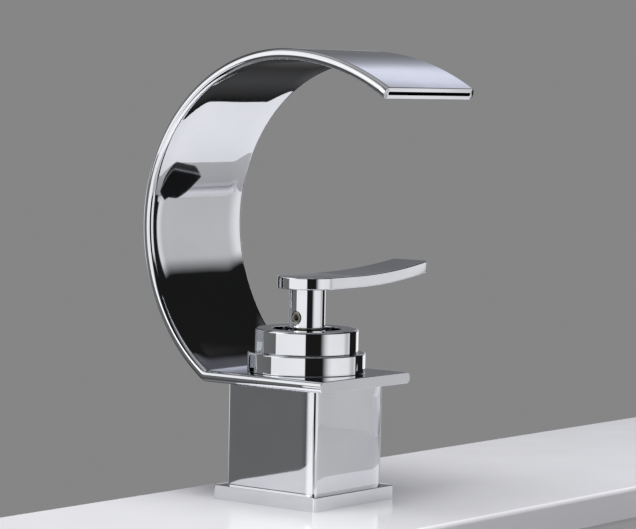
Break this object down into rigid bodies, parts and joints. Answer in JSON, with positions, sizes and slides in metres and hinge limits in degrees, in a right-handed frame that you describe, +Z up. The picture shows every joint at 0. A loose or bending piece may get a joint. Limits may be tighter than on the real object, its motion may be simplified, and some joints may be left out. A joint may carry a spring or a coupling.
{
  "type": "bathroom mixer faucet",
  "caption": "Chrome single-lever basin mixer with a wide C-shaped ribbon spout, square body and side lever.",
  "frame": {"origin": "centre of the square base plate's underside, on the deck face", "axes": "+Z up out of the deck, +X toward the user, the way the spout pours, +Y toward the user's right, the way the lever points at rest"},
  "size_m": [0.1341, 0.1084, 0.2601],
  "materials": {
    "chrome": "polished chrome plate on brass",
    "brass": "machined",
    "steel": "machined",
    "rubber": "matte",
    "white_plastic": "moulded acetal",
    "grey_plastic": "moulded acetal",
    "blue_plastic": "moulded acetal",
    "ceramic": "lapped alumina"
  },
  "bodies": {
    "faucet": {"base_plate": "chrome", "base_seal": "rubber", "body": "chrome", "riser_seals": "rubber", "spout": "chrome", "collar": "chrome", "cap": "chrome", "cartridge_nut": "brass", "cartridge_housing": "white_plastic", "cartridge_base": "grey_plastic", "port_seals": "rubber", "disc_seals": "rubber", "fixed_disc": "ceramic", "mounting_stud": "steel", "clamp_rubber": "rubber", "clamp_plate": "steel", "clamp_nut": "brass"},
    "rotor": {"cartridge_rotor": "white_plastic", "pivot_pin": "steel"},
    "disc": {"moving_disc": "ceramic", "disc_carrier": "blue_plastic"},
    "handle": {"cartridge_stem": "brass", "dust_cover": "chrome", "handle_post": "chrome", "lever": "chrome", "set_screw": "steel"}
  },
  "joints": [
    {"name": "handle_swivel", "type": "hinge", "parent": "faucet", "child": "rotor", "pos_m": [0, 0, 0.058], "axis": [0, 0, 1], "range_deg": [-50, 50]},
    {"name": "handle_lift", "type": "hinge", "parent": "rotor", "child": "handle", "pos_m": [0, 0, 0.058], "axis": [1, 0, 0], "range_deg": [0, 20]},
    {"name": "disc_slide", "type": "slide", "parent": "rotor", "child": "disc", "axis": [0, 1, 0], "range_m": [0, 0.0028]}
  ],
  "couplings": [
    {"joint": "disc_slide", "follows": "handle_lift", "m_per_rad": 0.008}
  ]
}
